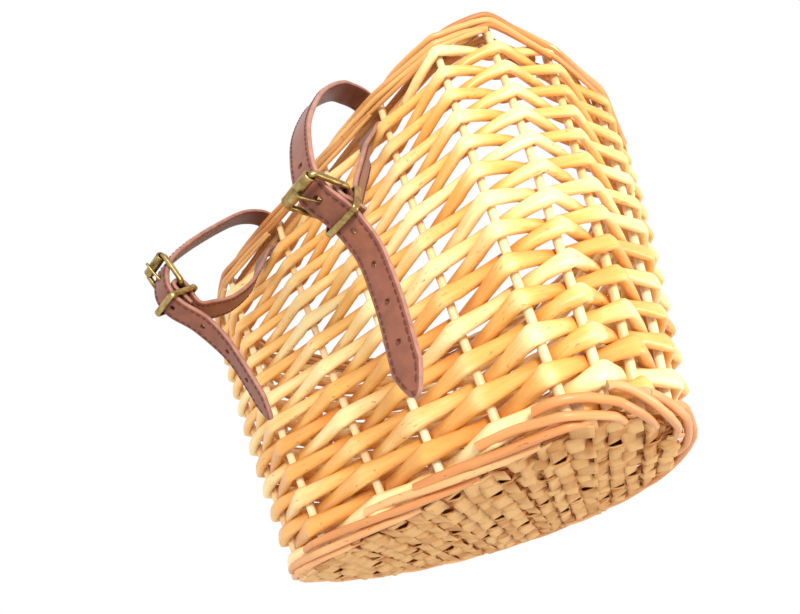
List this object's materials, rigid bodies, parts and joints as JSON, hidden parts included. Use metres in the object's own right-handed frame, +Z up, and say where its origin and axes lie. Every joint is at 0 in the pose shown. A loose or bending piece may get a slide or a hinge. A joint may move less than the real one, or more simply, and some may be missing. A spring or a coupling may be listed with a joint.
{
  "type": "handlebar basket",
  "caption": "D-shaped open wicker basket with a flat back wall and two buckled leather straps that hang it from a handlebar.",
  "frame": {"origin": "below the middle of the whole object, on the surface that the base stands on", "axes": "+Z up out of the mouth, -Y out of the flat wall towards the handlebar, +X along the handlebar"},
  "size_m": [0.2802, 0.285, 0.1824],
  "materials": {
    "willow": "peeled willow rods, lightly varnished",
    "split_willow": "matte split strips",
    "leather": "smooth strap leather with stitched edges",
    "brass": "antiqued brass wire"
  },
  "bodies": {
    "basket": {"stakes_left_corner": "willow", "stakes_back": "willow", "stakes_right_corner": "willow", "stakes_right_side": "willow", "stakes_front": "willow", "stakes_left_side": "willow", "weaving_row_01": "willow", "weaving_row_02": "willow", "weaving_row_03": "willow", "weaving_row_04": "willow", "weaving_row_05": "willow", "weaving_row_06": "willow", "weaving_row_07": "willow", "weaving_row_08": "willow", "weaving_row_09": "willow", "weaving_row_10": "willow", "weaving_row_11": "willow", "weaving_row_12": "willow", "weaving_row_13": "willow", "weaving_row_14": "willow", "weaving_row_15": "willow", "weaving_row_16": "willow", "weaving_row_17": "willow", "weaving_row_18": "willow", "weaving_row_19": "willow", "weaving_row_20": "willow", "weaving_row_21": "willow", "weaving_row_22": "willow", "weaving_row_23": "willow", "weaving_row_24": "willow", "rim_rod_1": "willow", "rim_rod_2": "willow", "rim_rod_3": "willow", "rim_rod_4": "willow", "foot_border_rod_1": "willow", "foot_border_rod_2": "willow", "foot_border_rod_3": "willow", "base_strips_crosswise": "split_willow", "base_strips_lengthwise": "split_willow"},
    "right_strap": {"right_strap": "leather"},
    "right_buckle": {"right_buckle_frame": "brass"},
    "right_roller": {"right_buckle_roller": "brass"},
    "right_prong": {"right_buckle_prong": "brass"},
    "right_keeper": {"right_keeper": "brass"},
    "left_strap": {"left_strap": "leather"},
    "left_buckle": {"left_buckle_frame": "brass"},
    "left_roller": {"left_buckle_roller": "brass"},
    "left_prong": {"left_buckle_prong": "brass"},
    "left_keeper": {"left_keeper": "brass"}
  },
  "joints": [
    {"name": "right_strap_swing", "type": "hinge", "parent": "basket", "child": "right_strap", "pos_m": [0.055, -0.0805, 0.17], "axis": [-1, 0, 0], "range_deg": [-2, 18]},
    {"name": "right_buckle_tilt", "type": "hinge", "parent": "right_strap", "child": "right_buckle", "pos_m": [0.055, -0.1141, 0.0841], "axis": [1, 0, 0], "range_deg": [0, 4]},
    {"name": "right_roller_spin", "type": "hinge", "parent": "right_buckle", "child": "right_roller", "pos_m": [0.055, -0.1293, 0.0805], "axis": [1, 0, 0], "continuous": true},
    {"name": "right_prong_lift", "type": "hinge", "parent": "right_buckle", "child": "right_prong", "pos_m": [0.055, -0.1141, 0.0841], "axis": [1, 0, 0], "range_deg": [0, 4]},
    {"name": "right_keeper_slide", "type": "slide", "parent": "right_strap", "child": "right_keeper", "axis": [0, 0.9608, -0.2772], "range_m": [-0.0008, 0.0008]},
    {"name": "left_strap_swing", "type": "hinge", "parent": "basket", "child": "left_strap", "pos_m": [-0.035, -0.0805, 0.17], "axis": [-1, 0, 0], "range_deg": [-2, 18]},
    {"name": "left_buckle_tilt", "type": "hinge", "parent": "left_strap", "child": "left_buckle", "pos_m": [-0.035, -0.1295, 0.1061], "axis": [1, 0, 0], "range_deg": [0, 4]},
    {"name": "left_roller_spin", "type": "hinge", "parent": "left_buckle", "child": "left_roller", "pos_m": [-0.035, -0.1385, 0.1183], "axis": [1, 0, 0], "continuous": true},
    {"name": "left_prong_lift", "type": "hinge", "parent": "left_buckle", "child": "left_prong", "pos_m": [-0.035, -0.1295, 0.1061], "axis": [1, 0, 0], "range_deg": [0, 4]},
    {"name": "left_keeper_slide", "type": "slide", "parent": "left_strap", "child": "left_keeper", "axis": [0, 0.669, -0.7433], "range_m": [-0.0008, 0.0008]}
  ]
}
